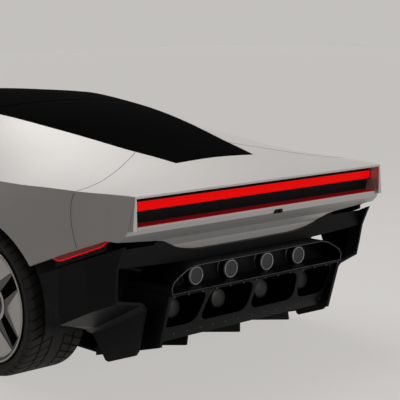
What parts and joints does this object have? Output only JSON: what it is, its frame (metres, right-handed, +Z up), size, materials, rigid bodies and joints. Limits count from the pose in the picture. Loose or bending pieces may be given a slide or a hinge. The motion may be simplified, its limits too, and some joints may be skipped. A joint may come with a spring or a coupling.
{
  "type": "supercar",
  "caption": "Mid-engined two-seat supercar with opening doors and lids, steered front wheels and four rolling wheels.",
  "frame": {"origin": "on the ground, in the middle of the car's box seen from above", "axes": "+X forward, +Y to the car's left, +Z up"},
  "size_m": [4.7, 2.2244, 1.33],
  "materials": {
    "paint": "satin metallic silver",
    "canopy_black": "gloss black",
    "glass": "tinted",
    "lamp_glass": "clear",
    "lamp_black": "gloss",
    "lamp_red": "lit red",
    "lens_red": "red lens",
    "carbon": "satin carbon fibre",
    "steel": "heat-darkened",
    "tub": "carbon fibre",
    "cast": "cast",
    "seat_trim": "matt",
    "trim_black": "matt",
    "tyre": "rubber",
    "rim": "machined silver",
    "iron": "cast",
    "arms": "satin black"
  },
  "bodies": {
    "chassis": {"side_panel_left": "paint", "side_panel_right": "paint", "wing_left": "paint", "wing_right": "paint", "tail_panel": "paint", "front_bumper": "paint", "roof_panel": "canopy_black", "windscreen": "glass", "headlamps": "lamp_glass", "lamp_tray": "lamp_black", "light_bar": "lamp_red", "red_lenses": "lens_red", "rear_blade": "carbon", "end_plates": "carbon", "exhaust_panel": "carbon", "diffuser": "carbon", "underfloor": "carbon", "exhaust_tips": "steel", "cabin_tub": "tub", "engine_block": "cast", "seats": "seat_trim", "dashboard": "trim_black", "front_suspension": "arms", "upright_rear_left": "iron", "upright_rear_right": "iron", "rear_suspension": "arms"},
    "door_left": {"door_left": "paint", "door_glass_left": "glass", "mirror_left": "paint"},
    "door_right": {"door_right": "paint", "door_glass_right": "glass", "mirror_right": "paint"},
    "front_lid": {"front_lid": "paint"},
    "engine_lid": {"rear_glass": "canopy_black"},
    "steering_wheel": {"steering_wheel": "trim_black"},
    "steer_left": {"upright_front_left": "iron"},
    "steer_right": {"upright_front_right": "iron"},
    "wheel_front_left": {"tyre_front_left": "tyre", "rim_front_left": "rim"},
    "wheel_front_right": {"tyre_front_right": "tyre", "rim_front_right": "rim"},
    "wheel_rear_left": {"tyre_rear_left": "tyre", "rim_rear_left": "rim"},
    "wheel_rear_right": {"tyre_rear_right": "tyre", "rim_rear_right": "rim"}
  },
  "joints": [
    {"name": "door_left_hinge", "type": "hinge", "parent": "chassis", "child": "door_left", "pos_m": [0.803, 0.9352, 0.576], "axis": [0, 0, -1], "range_deg": [0, 62]},
    {"name": "door_right_hinge", "type": "hinge", "parent": "chassis", "child": "door_right", "pos_m": [0.803, -0.9352, 0.576], "axis": [0, 0, 1], "range_deg": [0, 62]},
    {"name": "front_lid_hinge", "type": "hinge", "parent": "chassis", "child": "front_lid", "pos_m": [1.285, 0, 0.8565], "axis": [0, -1, 0], "range_deg": [0, 60]},
    {"name": "engine_lid_hinge", "type": "hinge", "parent": "chassis", "child": "engine_lid", "pos_m": [-0.7396, 0, 1.2431], "axis": [0, 1, 0], "range_deg": [0, 50]},
    {"name": "steer_left", "type": "hinge", "parent": "chassis", "child": "steer_left", "pos_m": [1.34, 0.751, 0.345], "axis": [0, 0, 1], "range_deg": [-30, 30]},
    {"name": "steer_right", "type": "hinge", "parent": "chassis", "child": "steer_right", "pos_m": [1.34, -0.751, 0.345], "axis": [0, 0, 1], "range_deg": [-30, 30]},
    {"name": "steering_wheel_turn", "type": "hinge", "parent": "chassis", "child": "steering_wheel", "pos_m": [0.57, 0.4, 0.7], "axis": [-0.9272, 0, 0.3746], "range_deg": [-430, 430]},
    {"name": "wheel_front_left_spin", "type": "hinge", "parent": "steer_left", "child": "wheel_front_left", "pos_m": [1.34, 0.83, 0.345], "axis": [0, 1, 0], "continuous": true},
    {"name": "wheel_rear_left_spin", "type": "hinge", "parent": "chassis", "child": "wheel_rear_left", "pos_m": [-1.38, 0.82, 0.365], "axis": [0, 1, 0], "continuous": true},
    {"name": "wheel_front_right_spin", "type": "hinge", "parent": "steer_right", "child": "wheel_front_right", "pos_m": [1.34, -0.83, 0.345], "axis": [0, 1, 0], "continuous": true},
    {"name": "wheel_rear_right_spin", "type": "hinge", "parent": "chassis", "child": "wheel_rear_right", "pos_m": [-1.38, -0.82, 0.365], "axis": [0, 1, 0], "continuous": true}
  ],
  "couplings": [
    {"joint": "steer_right", "follows": "steer_left", "ratio": 1},
    {"joint": "steering_wheel_turn", "follows": "steer_left", "ratio": 14}
  ]
}
